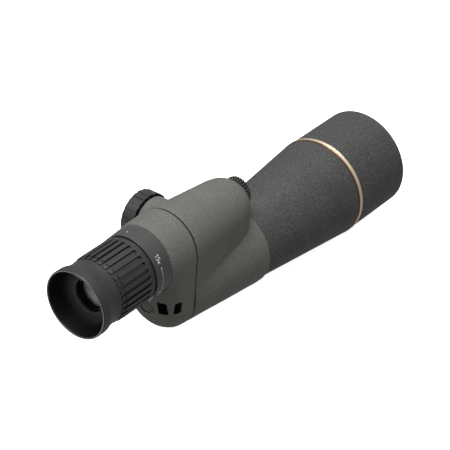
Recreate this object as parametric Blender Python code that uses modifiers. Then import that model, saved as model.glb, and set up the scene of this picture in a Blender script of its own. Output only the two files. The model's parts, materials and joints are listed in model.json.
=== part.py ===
"""Spotting scope: a straight, compact 15-30x50 zoom scope as an assembly of separate pieces.

The optics lie along +X: the eyecup is at the back, the objective hood at the front, +Y is left and +Z up.
Lengths are metres. Stations "x" are measured from the eyecup's rim and heights "z" from the objective axis.
The world origin is the tripod thread's mouth on the underside.
"""
import math

import bmesh
import bpy

MM = 0.001
EYE_Z = 34.3 * MM                   # eyepiece axis above the objective axis
MOUNT_X = 112 * MM                  # tripod thread's axis
PAD_Z = -24.0 * MM                  # face of the tripod pad
GAP = 0.3 * MM                      # clearance between touching pieces
WIDE = 28                           # facets round a large piece
MEDIUM = 18                         # facets round a cell or lens
NARROW = 10                         # facets round a shaft
SHELL = 36                          # facets round the tube, ring and hood

# Stations and radii of the outside, in millimetres
LENGTH = 279                        # hood's rim
GRIP_X = (17.4, 44.7)               # zoom ring
GRIP_R = 21.1
SCALE_X = (46.0, 58.2)              # fixed scale ring
COVER_X = 58.5                      # rear face of the housing
COVER_FRONT = 79.8                  # front edge of the rear cover
NOSE_X = 142                        # front face of the upper housing
COLLAR_X = 146                      # front edge of the armoured collar
TUBE_X = (136, 240.3)               # objective tube, with its spigots
RING_X = (229.4, 233.4)             # gold ring
HOOD_X = 233.7                      # back of the hood
HOOD_R = 33.15
RING_R = 33.5
WALL = 2.0                          # casting and armour together
COVER_WALL = 2.2
COVER_BACK = 2.6 * MM               # thickness of the cover's rear face
WALL_LEAN = math.radians(5.1)       # the side walls lean in towards the bottom

# Eyepiece
GROOVES = 30                        # round the zoom ring
CELL_R = 12.9                       # zoom cells and eye lens
BARREL_R = 15.2
SLEEVE_R = 17.6                     # cam sleeve
ZOOM_TURN = math.radians(194)       # 15x to 30x
ZOOM_STOPS = ((31 * MM, 37 * MM), (53 * MM, 49 * MM))  # each zoom cell's middle at 15x and at 30x

# Prisms
PRISM = 11 * MM                     # width of the prisms' faces
PRISM_X = 84.3 * MM                 # back of the prisms
BRACKET_X = 97 * MM                 # back of the prism bracket

# Focus
KNOB_AXIS = (105.6 * MM, 24 * MM)   # focus shaft, x and z
NECK_Y = 34.3 * MM                  # end of the focus neck
NECK_R = 15.6
KNOB_R = 17.0
KNOB_WIDTH = 9.8 * MM
WHEEL_Z = 38 * MM                   # fine focus wheel's axis
WHEEL_R = 9.8
WHEEL_TEETH = 30
GEAR_MODULE = 0.6 * MM
PINION_TEETH = 12
PITCH_R = GEAR_MODULE * PINION_TEETH / 2
CARRIAGE_X = 123 * MM               # middle of the focusing lens
ROD_Y = 14 * MM                     # guide rods, to each side
ROD_Z = -6 * MM

COLORS = {
    "green_armour": ((0.105, 0.105, 0.09), 0.75, 0.0),
    "black_rubber": ((0.02, 0.02, 0.021), 0.7, 0.0),
    "black_satin": ((0.03, 0.03, 0.032), 0.45, 0.0),
    "grey_texture": ((0.06, 0.06, 0.062), 0.7, 0.0),
    "gold": ((0.75, 0.52, 0.3), 0.3, 1.0),
    "glass": ((0.75, 0.82, 0.85), 0.03, 0.0),
    "prism_glass": ((0.7, 0.8, 0.8), 0.05, 0.0),
    "black_aluminium": ((0.035, 0.035, 0.035), 0.5, 0.6),
    "steel": ((0.55, 0.55, 0.56), 0.3, 1.0),
    "brass": ((0.7, 0.5, 0.22), 0.35, 1.0),
}


# ---------------------------------------------------------------- scene and materials
def new_collection(name):
    group = bpy.data.collections.new(name)
    bpy.context.scene.collection.children.link(group)
    return group


for leftover in list(bpy.data.objects):
    bpy.data.objects.remove(leftover)
PARTS = new_collection("spotting_scope")
TOOLS = new_collection("cutters")
ROOT = bpy.data.objects.new("optical_axis", None)
ROOT.location = (-MOUNT_X, 0, -PAD_Z)
PARTS.objects.link(ROOT)


def material(slot, node):
    color, roughness, metallic = COLORS[slot]
    mat = bpy.data.materials.new(node)
    mat.use_nodes = True
    shader = mat.node_tree.nodes["Principled BSDF"]
    shader.inputs["Base Color"].default_value = (*color, 1)
    shader.inputs["Roughness"].default_value = roughness
    shader.inputs["Metallic"].default_value = metallic
    return mat


def place(name, mesh, slot, at=(0, 0, 0), turn=(0, 0, 0)):
    """An object under the optical axis. Without a slot it is a cutter."""
    body = bpy.data.objects.new(name, mesh)
    body.parent = ROOT
    body.location = at
    body.rotation_euler = turn
    if slot:
        mesh.materials.append(material(slot, name))
        PARTS.objects.link(body)
    else:
        TOOLS.objects.link(body)
        body.hide_render = True
        body.display_type = "WIRE"
    return body


def boolean(body, *others, operation="DIFFERENCE"):
    for other in others:
        step = body.modifiers.new(operation.lower(), "BOOLEAN")
        step.operation = operation
        step.solver = "EXACT"
        step.object = other
    return body


def weld(body):
    """Closes the hairline slits that a chain of cuts can leave."""
    step = body.modifiers.new("weld", "WELD")
    step.merge_threshold = 0.00002


def cut(body, *others):
    return boolean(body, *others)


def join(body, *others):
    return boolean(body, *others, operation="UNION")


# ---------------------------------------------------------------- shapes
ALONG_X = (0, math.pi / 2, 0)
ALONG_Y = (-math.pi / 2, 0, 0)
ALONG_Z = (0, 0, 0)


def turned(name, slot, outer, inner=(), facets=WIDE, at=(0, 0, 0), turn=ALONG_X):
    """A turned piece: outer and inner are (station, radius) pairs in mm, from back to front."""
    outline = list(reversed(outer)) + list(inner)
    if not inner and outline[0][1]:
        outline.insert(0, (outer[-1][0], 0))
    if not inner and outline[-1][1]:
        outline.append((outer[0][0], 0))
    mesh = bpy.data.meshes.new(name)
    points = [(radius * MM, 0, station * MM) for station, radius in outline]
    edges = [(i, i + 1) for i in range(len(points) - 1)]
    if inner:
        edges.append((len(points) - 1, 0))
    mesh.from_pydata(points, edges, [])
    body = place(name, mesh, slot, at, turn)
    screw = body.modifiers.new("turn", "SCREW")
    screw.axis = "Z"
    screw.steps = facets
    screw.render_steps = facets
    screw.use_merge_vertices = True
    screw.merge_threshold = 0.00001
    screw.use_smooth_shade = True
    return body


def tube(name, slot, start, end, radius, bore=0, **options):
    outer = [(start, radius), (end, radius)]
    inner = [(start, bore), (end, bore)] if bore else ()
    return turned(name, slot, outer, inner, **options)


def from_bmesh(name, slot, shape, at=(0, 0, 0), turn=(0, 0, 0)):
    bmesh.ops.recalc_face_normals(shape, faces=shape.faces)
    mesh = bpy.data.meshes.new(name)
    shape.to_mesh(mesh)
    shape.free()
    return place(name, mesh, slot, at, turn)


def add_box(shape, low, high):
    """A box between two corners, in mm."""
    made = bmesh.ops.create_cube(shape, size=1)
    for vert in made["verts"]:
        for axis in range(3):
            middle = (low[axis] + high[axis]) / 2
            vert.co[axis] = (middle + vert.co[axis] * (high[axis] - low[axis])) * MM


def boxes(name, slot, *corners, at=(0, 0, 0), turn=(0, 0, 0)):
    shape = bmesh.new()
    for low, high in corners:
        add_box(shape, low, high)
    return from_bmesh(name, slot, shape, at, turn)


def loft(name, slot, sections):
    """A closed body through sections of equally many points, capped at both ends."""
    shape = bmesh.new()
    rings = [[shape.verts.new(point) for point in section] for section in sections]
    count = len(rings[0])
    for before, after in zip(rings, rings[1:]):
        for i in range(count):
            j = (i + 1) % count
            shape.faces.new((before[i], before[j], after[j], after[i]))
    shape.faces.new(list(reversed(rings[0])))
    shape.faces.new(rings[-1])
    bmesh.ops.triangulate(shape, faces=shape.faces)
    return from_bmesh(name, slot, shape)


def prism(name, slot, outline, thickness, at, turn=(0, 0, 0)):
    """A flat outline, in mm, thickened to both sides of its plane."""
    curve = bpy.data.curves.new(name, "CURVE")
    curve.dimensions = "2D"
    curve.fill_mode = "BOTH"
    curve.extrude = thickness * MM / 2
    spline = curve.splines.new("POLY")
    spline.points.add(len(outline) - 1)
    for point, (u, v) in zip(spline.points, outline):
        point.co = (u * MM, v * MM, 0, 1)
    spline.use_cyclic_u = True
    flat = bpy.data.objects.new(name + "_outline", curve)
    bpy.context.scene.collection.objects.link(flat)
    seen = flat.evaluated_get(bpy.context.evaluated_depsgraph_get())
    mesh = bpy.data.meshes.new_from_object(seen)
    bpy.data.objects.remove(flat)
    shape = bmesh.new()
    shape.from_mesh(mesh)
    bmesh.ops.remove_doubles(shape, verts=shape.verts, dist=0.00001)
    return from_bmesh(name, slot, shape, at, turn)


def gear_outline(teeth, tip, root, tip_share, root_share):
    """Trapezoid teeth: the shares are of the pitch angle, at the tip and at the root."""
    outline = []
    for tooth in range(teeth):
        middle = 2 * math.pi * tooth / teeth - math.pi / 2
        for radius, share in ((root, -root_share), (tip, -tip_share), (tip, tip_share), (root, root_share)):
            angle = middle + share * math.pi / teeth
            outline.append((radius * math.cos(angle), radius * math.sin(angle)))
    return outline


def round_outline(radius, facets, middle=(0, 0), width_share=1.0):
    outline = []
    for i in range(facets):
        angle = 2 * math.pi * i / facets
        across = width_share * radius * math.cos(angle)
        outline.append((middle[0] + across, middle[1] + radius * math.sin(angle)))
    return outline


# ---------------------------------------------------------------- housing sections
def between(x, stations):
    """Straight-line interpolation in a list of (x, value) pairs."""
    if x <= stations[0][0]:
        return stations[0][1]
    for (x0, v0), (x1, v1) in zip(stations, stations[1:]):
        if x <= x1:
            return v0 + (v1 - v0) * (x - x0) / (x1 - x0)
    return stations[-1][1]


TOP_RADIUS = ((COVER_X, 22.25), (63, 22.75), (76, 23.0), (84, 22.7), (90, 22.1), (134, 18.1))
COVER_FOOT = (
    (COVER_X, 12.2), (59.7, 0), (61.7, -8), (64.5, -13.5), (68.5, -17.5), (73.5, -19.9), (80, -20.6),
)
COVER_FOOT_R = (
    (COVER_X, 8), (59.7, 11), (61.7, 14.3), (64.5, 17.2), (68.5, 19.2), (73.5, 20.2), (80, 20.6),
)
CONE = ((80, 20.65), (94, 21.84), (115, 23.77), (137, 25.64), (141, 26.0), (144.9, 26.1))
NOSE_CENTRE = 130.3
NOSE_R = 17.1


def cover_section(x, inset):
    """Pear outline of the rear cover, in the plane of station x, in metres."""
    top_r = between(x, TOP_RADIUS) - inset
    foot_r = max(between(x, COVER_FOOT_R) - inset, 3)
    foot_z = between(x, COVER_FOOT) + inset + foot_r
    eye = EYE_Z / MM
    rise = max(eye - foot_z, abs(top_r - foot_r) + 0.1)
    lean = math.asin((top_r - foot_r) / rise)
    arcs = (
        (eye, top_r, -lean, math.pi + lean, 18),
        (eye - rise, foot_r, math.pi + lean, 2 * math.pi - lean, 12),
    )
    points = []
    for middle, radius, start, end, steps in arcs:
        for i in range(steps + 1):
            angle = start + (end - start) * i / steps
            y = radius * math.cos(angle)
            z = middle + radius * math.sin(angle)
            points.append((x * MM, y * MM, z * MM))
    return points


def upper_section(x, inset, floor):
    """Arched outline of the upper housing: round on top, with walls that lean in down to the floor."""
    top_r = between(x, TOP_RADIUS)
    eye = EYE_Z / MM
    if x > NOSE_CENTRE:
        ball = math.sqrt(max(NOSE_R ** 2 - (x - NOSE_CENTRE) ** 2, 1))
        top_r = min(top_r, ball + 1.0)
    top_r -= inset
    points = []
    for i in range(19):
        angle = -WALL_LEAN + (math.pi + 2 * WALL_LEAN) * i / 18
        points.append((x * MM, top_r * math.cos(angle) * MM, (eye + top_r * math.sin(angle)) * MM))
    foot_y = top_r * math.cos(WALL_LEAN) - (eye - top_r * math.sin(WALL_LEAN) - floor) * math.tan(WALL_LEAN)
    points.append((x * MM, -foot_y * MM, floor * MM))
    points.append((x * MM, foot_y * MM, floor * MM))
    return points


def upper_body(name, slot, stations, inset, floor):
    return loft(name, slot, [upper_section(x, inset, floor) for x in stations])


# ---------------------------------------------------------------- eyepiece
def build_eyepiece():
    eye = (0, 0, EYE_Z)
    turned(
        "eyecup", "black_rubber",
        [(0, 21.3), (0.5, 21.75), (6.3, 21.6), (10.3, 20.95), (14.3, 20.1), (17, 19.9)],
        [(0, 20.5), (2, 19.5), (11, 17.6), (12.2, 16.3), (12.2, 10.5), (13.9, 10.5), (13.9, 15.5),
         (17, 15.5)],
        at=eye,
    )
    grip = turned(
        "zoom_ring", "black_satin",
        [(GRIP_X[0], 20.7), (18.4, GRIP_R), (43.9, GRIP_R + 0.1), (GRIP_X[1], 20.8)],
        [(GRIP_X[0], 18), (GRIP_X[1], 18)],
        facets=40, at=eye,
    )
    slots = bmesh.new()
    for i in range(GROOVES):
        start = len(slots.verts)
        add_box(slots, (19.4, -0.85, 20.4), (41.6, 0.85, 22.5))
        slots.verts.ensure_lookup_table()
        turn = 2 * math.pi * (i + 0.5) / GROOVES
        for vert in slots.verts[start:]:
            y, z = vert.co.y, vert.co.z
            vert.co.y = y * math.cos(turn) - z * math.sin(turn)
            vert.co.z = y * math.sin(turn) + z * math.cos(turn)
    cut(grip, from_bmesh("grip_slots", None, slots, eye))
    cut(grip, boxes("ring_keyway", None, ((25, -1.8, 17), (35, 1.8, 19)), at=eye))
    turned(
        "zoom_seal", "black_rubber",
        [(45.0, 20.5), (45.7, 20.5)], [(45.0, 18.1), (45.7, 18.1)], at=eye,
    )
    turned(
        "scale_ring", "black_satin",
        [(SCALE_X[0], 21.3), (46.4, 21.55), (SCALE_X[1], 22.2)],
        [(SCALE_X[0], 18.1), (56.9, 18.1), (56.9, 15.6), (SCALE_X[1], 15.6)],
        at=eye,
    )
    barrel = turned(
        "eyepiece_barrel", "black_aluminium",
        [(14.2, BARREL_R), (61.9, BARREL_R), (62.0, 17.2), (63.4, 17.2)],
        [(14.2, 13.2), (22.8, 13.2), (22.8, 11.8), (24.2, 11.8), (24.2, 13.2), (63.4, 13.2)],
        facets=MEDIUM, at=eye,
    )
    cut(barrel, boxes(
        "guide_slots", None,
        ((28.5, -17, -1.1), (39.5, -12, 1.1)), ((46.5, 12, -1.1), (55.5, 17, 1.1)), at=eye,
    ))
    turned(
        "eye_lens_retainer", "black_aluminium",
        [(14.3, CELL_R), (17.3, CELL_R)],
        [(14.3, 10.1), (15.2, 10.1), (15.2, 9.5), (16.1, 9.5), (16.1, 9.9), (17.3, 9.6)],
        facets=MEDIUM, at=eye,
    )
    lens("eye_lens", 17.6, 21.4, CELL_R, 1.6, -1.0, eye)
    sleeve = tube("cam_sleeve", "black_aluminium", 19, 56.6, SLEEVE_R, 15.6, facets=MEDIUM, at=eye)
    cut(sleeve, boxes("sleeve_keyway", None, ((25, -1.8, 16.6), (35, 1.8, 19)), at=eye))
    boxes("zoom_drive_key", "steel", ((25.4, -1.5, 16.9), (34.6, 1.5, 18.7)), at=eye)
    for name, stops, side in (("front_zoom", ZOOM_STOPS[0], -1), ("rear_zoom", ZOOM_STOPS[1], 1)):
        build_zoom_cell(name, stops, side)
        cut(sleeve, helical_slot(name + "_cam", stops, -side * math.pi / 2))
    tube("field_stop", "black_aluminium", 57.6, 58.6, CELL_R, 8.5, facets=MEDIUM, at=eye)
    lens("field_lens", 59.2, 62.8, CELL_R, 0.9, 0.0, eye)


def lens(name, back, front, radius, back_bulge, front_bulge, at, slot="glass", facets=MEDIUM):
    """A round lens. A bulge is how far that face stands out at its middle; it is negative when hollow."""
    step = 0.6
    outer = [
        (back + back_bulge * step ** 2, radius * step),
        (back + back_bulge, radius),
        (front - front_bulge, radius),
        (front - front_bulge * step ** 2, radius * step),
    ]
    middle = [(back, 0.0)] if back_bulge else []
    end = [(front, 0.0)] if front_bulge else []
    return turned(name, slot, middle + outer[1 - len(middle):3 + len(end)] + end, facets=facets, at=at)


def build_zoom_cell(name, stops, side):
    """One zoom cell with its lens, and its guide pin on the left (1) or the right (-1)."""
    middle = stops[0] / MM
    cell = turned(
        name + "_cell", "black_aluminium",
        [(middle - 3, CELL_R), (middle + 3, CELL_R)],
        [(middle - 3, 8.9), (middle - 2.2, 8.9), (middle - 2.2, 10.4), (middle + 3, 10.4)],
        facets=MEDIUM, at=(0, 0, EYE_Z),
    )
    sideways = {"at": (stops[0], 0, EYE_Z), "turn": (-side * math.pi / 2, 0, 0)}
    cut(cell, tube(name + "_pin_hole", None, 11.4, 13.5, 1.1, facets=12, **sideways))
    tube(name + "_pin", "steel", 11.7, 16.5, 0.8, facets=12, **sideways)
    lens(name + "_lens", middle - 1.9, middle + 1.8, 10.1, 0.8, 0.8, (0, 0, EYE_Z))


def helical_slot(name, stops, start):
    """Cutter for one cam slot, which spans the zoom ring's whole turn."""
    steps = 16
    overrun = math.radians(5.5)
    sections = []
    for i in range(steps + 1):
        swept = -overrun + (ZOOM_TURN + 2 * overrun) * i / steps
        middle = stops[0] + (stops[1] - stops[0]) * swept / ZOOM_TURN
        angle = start - swept
        section = []
        for radius, side in ((14.8, -1.1), (18.6, -1.1), (18.6, 1.1), (14.8, 1.1)):
            section.append((
                middle + side * MM,
                -radius * math.sin(angle) * MM,
                EYE_Z + radius * math.cos(angle) * MM,
            ))
        sections.append(section)
    return loft(name, None, sections)


# ---------------------------------------------------------------- housing
SLOT_SIDES = (-1, 1)
BADGE_TILT = math.radians(10)
BADGE_AT = (60.2 * MM, 0, 0.2 * MM)
BOSSES = ((16.4, 38.0), (-16.4, 38.0), (0.0, -16.8))   # y, z of the bracket's screws, mm


def build_rear_cover():
    outside = [COVER_X, 59.1, 59.7, 60.6, 61.7, 63, 64.5, 66.4, 68.5, 71, 73.5, COVER_FRONT]
    cover = loft("rear_cover", "green_armour", [cover_section(x, 0) for x in outside])
    sections = []
    for x in (COVER_X, 59.7, 61.7, 64.5, 68.5, 73.5, 77.9):
        sections.append([(x * MM + COVER_BACK, y, z) for _, y, z in cover_section(x, COVER_WALL)])
    end = cover_section(COVER_FRONT, COVER_WALL)
    sections.append([(COVER_FRONT * MM + COVER_BACK + MM, y, z) for _, y, z in end])
    cavity = loft("cover_cavity", None, sections)
    for side in SLOT_SIDES:
        cut(cavity, slot_boxes(f"slot_block_{side}", side, ((58, 6.9, -3.0), (71.2, 24, 10.5))))
    cut(cover, cavity)
    cut(cover, tube("eyepiece_hole", None, 55, 64, BARREL_R + 0.3, facets=MEDIUM, at=(0, 0, EYE_Z)))
    cut(cover, badge_disc("badge_seat", None, 5.9, 0.9))
    for side in SLOT_SIDES:
        cut(cover, slot_boxes(f"rear_window_{side}", side, ((50, 8.9, -1.2), (69.0, 14.5, 7.7))))
        cut(cover, slot_boxes(f"side_window_{side}", side, ((64.9, 9.1, -1.0), (69.5, 26, 7.5))))
    weld(cover)
    badge_disc("badge", "green_armour", 5.6, 0.8)
    ring = [cover_section(COVER_FRONT, 0.35), cover_section(COVER_FRONT, 1.9)]
    gasket = loft("cover_gasket", "black_rubber", [[(80.1 * MM, y, z) for _, y, z in ring[0]],
                                                  [(80.7 * MM, y, z) for _, y, z in ring[0]]])
    cut(gasket, loft("gasket_hole", None, [[(79 * MM, y, z) for _, y, z in ring[1]],
                                           [(82 * MM, y, z) for _, y, z in ring[1]]]))


def slot_boxes(name, side, corners):
    (x0, y0, z0), (x1, y1, z1) = corners
    low, high = sorted((side * y0, side * y1))
    return boxes(name, None, ((x0, low, z0), (x1, high, z1)))


def badge_disc(name, slot, radius, depth):
    """Oval disc on the cover's rear face, wider than high, leaning with that face."""
    outline = round_outline(radius, 24, width_share=0.74)
    body = prism(name, slot, outline, 2 * depth if slot is None else depth, BADGE_AT,
                 (0, math.pi / 2 - BADGE_TILT, 0))
    return body


def build_main_housing():
    stations = [81, 84, 90, 112, 130.3, 134, 136.5, 139, 141, NOSE_X]
    housing = upper_body("main_housing", "green_armour", stations, 0, 4)
    collar = turned(
        "collar", None, [(81, 20.7)] + list(CONE[1:]) + [(145.6, 25.9), (COLLAR_X, 25.5)], facets=WIDE,
    )
    neck = tube("neck", None, 2, NECK_Y / MM, NECK_R, facets=WIDE,
                at=(KNOB_AXIS[0], 0, KNOB_AXIS[1]), turn=ALONG_Y)
    pad = boxes("tripod_pad", None, ((101, -7, -24), (123, 7, -18)))
    join(housing, collar, neck, pad)
    hollow = upper_body("upper_cavity", None, [79, 84, 90, 112, 130.3, 134, 136.5, 139], WALL, 4)
    bore = [(79, 18.4), (94, 19.8), (115, 21.7), (135.5, 22.9), (148, 22.9)]
    join(hollow, turned("collar_bore", None, bore, facets=WIDE))
    join(hollow, tube("neck_bore", None, 5, 32, 13.3, facets=MEDIUM,
                      at=(KNOB_AXIS[0], 0, KNOB_AXIS[1]), turn=ALONG_Y))
    for index, (y, z) in enumerate(BOSSES):
        cut(hollow, tube(f"boss_{index}", None, 99.6, 108, 3.6, facets=12, at=(0, y * MM, z * MM)))
    cut(hollow, tube("insert_boss", None, -26, -15, 7, facets=MEDIUM, at=(MOUNT_X, 0, 0), turn=ALONG_Z))
    cut(housing, hollow)
    for index, (y, z) in enumerate(BOSSES):
        cut(housing, tube(f"boss_hole_{index}", None, 98, 106, 1.3, facets=10, at=(0, y * MM, z * MM)))
    cut(housing, tube("insert_hole", None, -26, -16, 4.9, facets=MEDIUM, at=(MOUNT_X, 0, 0), turn=ALONG_Z))
    cut(housing, tube("focus_hole", None, 30, 36, 4.8, facets=NARROW,
                      at=(KNOB_AXIS[0], 0, KNOB_AXIS[1]), turn=ALONG_Y))
    cut(housing, tube("wheel_hole", None, 136, 144, 4.3, facets=NARROW, at=(0, 0, WHEEL_Z)))
    weld(housing)
    turned(
        "tripod_insert", "brass", [(-23.8, 4.6), (-16.4, 4.6)], (), facets=MEDIUM,
        at=(MOUNT_X, 0, 0), turn=ALONG_Z,
    )
    cut(bpy.data.objects["tripod_insert"],
        tube("thread_bore", None, -26, -17.4, 3.175, facets=MEDIUM, at=(MOUNT_X, 0, 0), turn=ALONG_Z))


# ---------------------------------------------------------------- prisms
def build_prisms():
    half = PRISM / MM / 2
    back = PRISM_X / MM
    eye = EYE_Z / MM
    plate = prism("prism_bracket", "black_aluminium", bracket_outline(), 2.2,
                  (BRACKET_X + 1.1 * MM, 0, 0), (math.pi / 2, 0, math.pi / 2))
    cut(plate, tube("objective_window", None, 95, 101, 7.5, facets=MEDIUM))
    cut(plate, boxes("rack_window", None, ((95, 3.5, 15.5), (101, 11.5, 23))))
    for index, (y, z) in enumerate(BOSSES):
        cut(plate, tube(f"bracket_hole_{index}", None, 95, 101, 1.5, facets=10, at=(0, y * MM, z * MM)))
    for side in (-1, 1):
        cut(plate, tube(f"rod_hole_{side}", None, 95, 101, 1.8, facets=12, at=(0, side * ROD_Y, ROD_Z)))
    corner = [(back, -half), (back + 2 * half, -half), (back + 2 * half, half)]
    prism("objective_prism", "prism_glass", corner, 2 * half, (0, 0, 0))
    corner = [(back, -half), (back + 2 * half, -half), (back, half)]
    prism("eyepiece_prism", "prism_glass", corner, 2 * half, (0, 0, EYE_Z))
    near = -half - GAP / MM
    far = near - 2 * half
    outline = [(near, -half), (near, eye + half), (far, eye - half), (far, half)]
    prism("relay_prism", "prism_glass", outline, 2 * half, (PRISM_X + PRISM / 2, 0, 0),
          (math.pi / 2, 0, math.pi / 2))
    boxes("upper_prism_clip", "steel", ((86, -3, eye + half + 0.3), (96.6, 3, eye + half + 0.9)))
    boxes("lower_prism_clip", "steel", ((86, -3, -half - 0.9), (96.6, 3, -half - 0.3)))
    for index, (y, z) in enumerate(BOSSES):
        turned(
            f"bracket_screw_{index + 1}", "steel",
            [(95.0, 2.3), (96.6, 2.3), (96.6, 1.0), (105, 1.0)], facets=12, at=(0, y * MM, z * MM),
        )


def bracket_outline():
    """The housing's cavity at the bracket, less a small clearance, as (y, z) pairs in mm."""
    points = []
    for i in range(13):
        angle = -0.35 + (math.pi + 0.7) * i / 12
        points.append((18.6 * math.cos(angle), EYE_Z / MM + 18.6 * math.sin(angle)))
    for i in range(9):
        angle = math.pi + 0.5 + (math.pi - 1.0) * i / 8
        points.append((18.4 * math.cos(angle), 18.4 * math.sin(angle)))
    return points


# ---------------------------------------------------------------- focus
def build_focus_knob():
    x, z = KNOB_AXIS
    back = (NECK_Y + 0.5 * MM) / MM
    front = back + KNOB_WIDTH / MM
    at = (x, 0, z)
    outline = gear_outline(26, KNOB_R, KNOB_R - 0.8, 0.3, 0.75)
    knob = prism("focus_knob", "black_rubber", outline, front - back,
                 (x, (back + front) / 2 * MM, z), ALONG_Y)
    cut(knob, tube("knob_bore", None, back - 2, front + 2, 1.8, facets=NARROW, at=at, turn=ALONG_Y))
    cut(knob, tube("knob_recess", None, front - 2.6, front + 2, 12.3, facets=MEDIUM, at=at, turn=ALONG_Y))
    cut(knob, tube("knob_back", None, back - 2, back + 2.5, 13, facets=MEDIUM, at=at, turn=ALONG_Y))
    weld(knob)
    tube("focus_knob_cap", "black_satin", front - 1.0, front, 12.0, facets=MEDIUM, at=at, turn=ALONG_Y)
    tube("focus_knob_screw", "steel", front - 2.3, front - 1.3, 3.5, facets=NARROW, at=at, turn=ALONG_Y)
    tube("focus_shaft", "steel", 4.5, front - 2.9, 1.5, facets=NARROW, at=at, turn=ALONG_Y)
    tube("focus_bushing", "brass", 24, 33.6, 4.5, 1.85, facets=NARROW, at=at, turn=ALONG_Y)
    turned("focus_seal", "black_rubber", [(34.0, 3.0), (34.4, 3.6), (34.8, 3.0)],
           [(34.0, 1.9), (34.8, 1.9)], facets=NARROW, at=at, turn=ALONG_Y)
    outline = gear_outline(PINION_TEETH, PITCH_R / MM + 0.5, PITCH_R / MM - 0.75, 0.2, 0.45)
    pinion = prism("focus_pinion", "brass", outline, 4, (x, 8.5 * MM, z), ALONG_Y)
    cut(pinion, tube("pinion_bore", None, 5, 12, 1.8, facets=NARROW, at=at, turn=ALONG_Y))


def build_fine_wheel():
    at = (0, 0, WHEEL_Z)
    outline = gear_outline(WHEEL_TEETH, WHEEL_R, WHEEL_R - 0.7, 0.35, 0.75)
    wheel = prism("fine_wheel", "black_rubber", outline, 4.8, (145.6 * MM, 0, WHEEL_Z), ALONG_X)
    cut(wheel, tube("wheel_bore", None, 142, 147, 2.3, facets=NARROW, at=at))
    tube("fine_screw", "steel", 112, 146.6, 2.0, facets=NARROW, at=at)
    tube("fine_bushing", "brass", 137.5, 142.8, 4.0, 2.35, facets=NARROW, at=at)


def build_carriage():
    middle = CARRIAGE_X / MM
    back, front = middle - 4, middle + 4
    rack_z = KNOB_AXIS[1] / MM - PITCH_R / MM
    carriage = turned(
        "focus_carriage", "black_aluminium",
        [(back, 13.4), (front, 13.4)],
        [(back, 9.9), (back + 1, 9.9), (back + 1, 11.3), (front, 11.3)],
        facets=MEDIUM,
    )
    ears = boxes("ears", None, ((middle - 1.5, -17.2, -8.8), (middle + 1.5, 17.2, -3.2)))
    cut(ears, tube("ears_clear", None, back - 1, front + 1, 12.5, facets=MEDIUM))
    post = boxes("post", None, ((middle - 2, -2.5, 12.6), (middle + 2, 2.5, 42)))
    link = boxes("rack_link", None, ((middle - 2, 1.5, 17.4), (middle + 2, 10.4, rack_z - 0.8)))
    bar = boxes("rack_bar", None, ((94.5, 6.6, 17.6), (middle + 1, 10.2, rack_z - 0.7)))
    join(bar, rack_teeth(rack_z))
    join(carriage, ears, post, link, bar)
    for side in (-1, 1):
        rod = (0, side * ROD_Y, ROD_Z)
        cut(carriage, tube(f"ear_bore_{side}", None, back, front, 1.8, facets=12, at=rod))
    cut(carriage, boxes("nut_seat", None, ((middle - 3, -6, WHEEL_Z / MM - 4.0), (middle + 3, 6, 44))))
    turned("focus_nut", "brass", [(middle - 3, 3.7), (middle + 3, 3.7)],
           [(middle - 3, 2.35), (middle + 3, 2.35)], facets=NARROW, at=(0, 0, WHEEL_Z))
    lens("focus_lens", back + 2.0, front - 2.5, 11.0, -0.7, -0.7, (0, 0, 0))
    tube("focus_lens_retainer", "black_aluminium", front - 1.5, front - 0.2, 11.0, 10.0, facets=MEDIUM)
    for name, side in (("left_guide_rod", 1), ("right_guide_rod", -1)):
        tube(name, "steel", 97.3, 142.9, 1.45, facets=12, at=(0, side * ROD_Y, ROD_Z))
    plate = tube("guide_plate", "black_aluminium", 141, 143, 20.2, 12.5, facets=WIDE)
    for side in (-1, 1):
        rod = (0, side * ROD_Y, ROD_Z)
        cut(plate, tube(f"plate_hole_{side}", None, 139.5, 144.5, 1.8, facets=14, at=rod))


def rack_teeth(pitch_z):
    """Teeth on top of the rack, with a gap below the shaft so that a pinion tooth points down into it."""
    pitch = math.pi * GEAR_MODULE / MM
    middle = KNOB_AXIS[0] / MM
    shape = bmesh.new()
    for tooth in range(-6, 3):
        centre = middle + (tooth + 0.5) * pitch
        low, high = pitch_z - 0.9, pitch_z + 0.5
        corners = [(centre - 0.42, low), (centre + 0.42, low), (centre + 0.2, high), (centre - 0.2, high)]
        front = [shape.verts.new((u * MM, 6.6 * MM, v * MM)) for u, v in corners]
        back = [shape.verts.new((u * MM, 10.4 * MM, v * MM)) for u, v in corners]
        shape.faces.new(front)
        shape.faces.new(list(reversed(back)))
        for i in range(4):
            j = (i + 1) % 4
            shape.faces.new((front[i], back[i], back[j], front[j]))
    return from_bmesh("rack_teeth", None, shape)


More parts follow.
